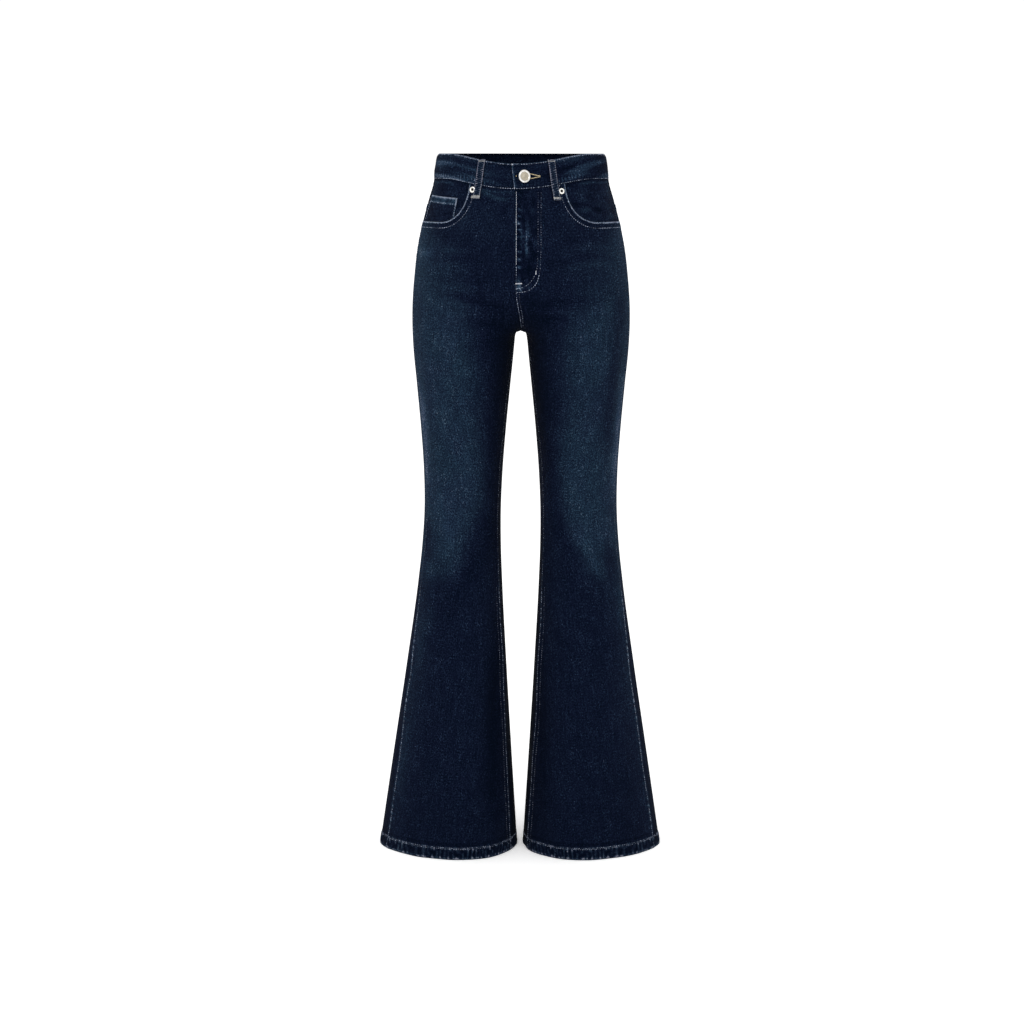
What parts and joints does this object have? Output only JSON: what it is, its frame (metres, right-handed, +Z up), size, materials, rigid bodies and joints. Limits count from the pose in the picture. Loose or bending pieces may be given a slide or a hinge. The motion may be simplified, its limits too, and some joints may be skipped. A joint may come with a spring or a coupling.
{
  "type": "bootcut jeans",
  "caption": "Women's bootcut jeans in dark washed stretch denim, filled out with no wearer: button waist, fly, scooped pockets, back yoke and pockets, flared hems",
  "frame": {"origin": "centre of the waist opening, level with the top of the waistband at the back and sides", "axes": "+Z up along the jeans' length, front faces -Y, +X is the wearer's left"},
  "size_m": [0.453, 0.2389, 1.1017],
  "materials": {
    "denim": "washed indigo twill, matt, with faded thighs and whiskers",
    "facing_denim": "unfaded indigo twill, matt",
    "zip_tape": "dark woven tape",
    "nickel": "bright nickel plate"
  },
  "bodies": {
    "root": {"front_left": "denim", "front_right": "denim", "back_left": "denim", "back_right": "denim", "yoke_left": "denim", "yoke_right": "denim", "waistband": "denim", "belt_loop_front_left": "denim", "belt_loop_front_right": "denim", "belt_loop_back_left": "denim", "belt_loop_back_right": "denim", "belt_loop_centre_back": "denim", "back_pocket_left": "denim", "back_pocket_right": "denim", "hem_left": "denim", "hem_right": "denim", "pocket_facing_left": "facing_denim", "pocket_facing_right": "facing_denim", "coin_pocket": "facing_denim", "fly_zip": "zip_tape", "waist_button": "nickel", "rivet_left": "nickel", "rivet_right": "nickel", "zip_slider": "nickel"}
  },
  "joints": []
}
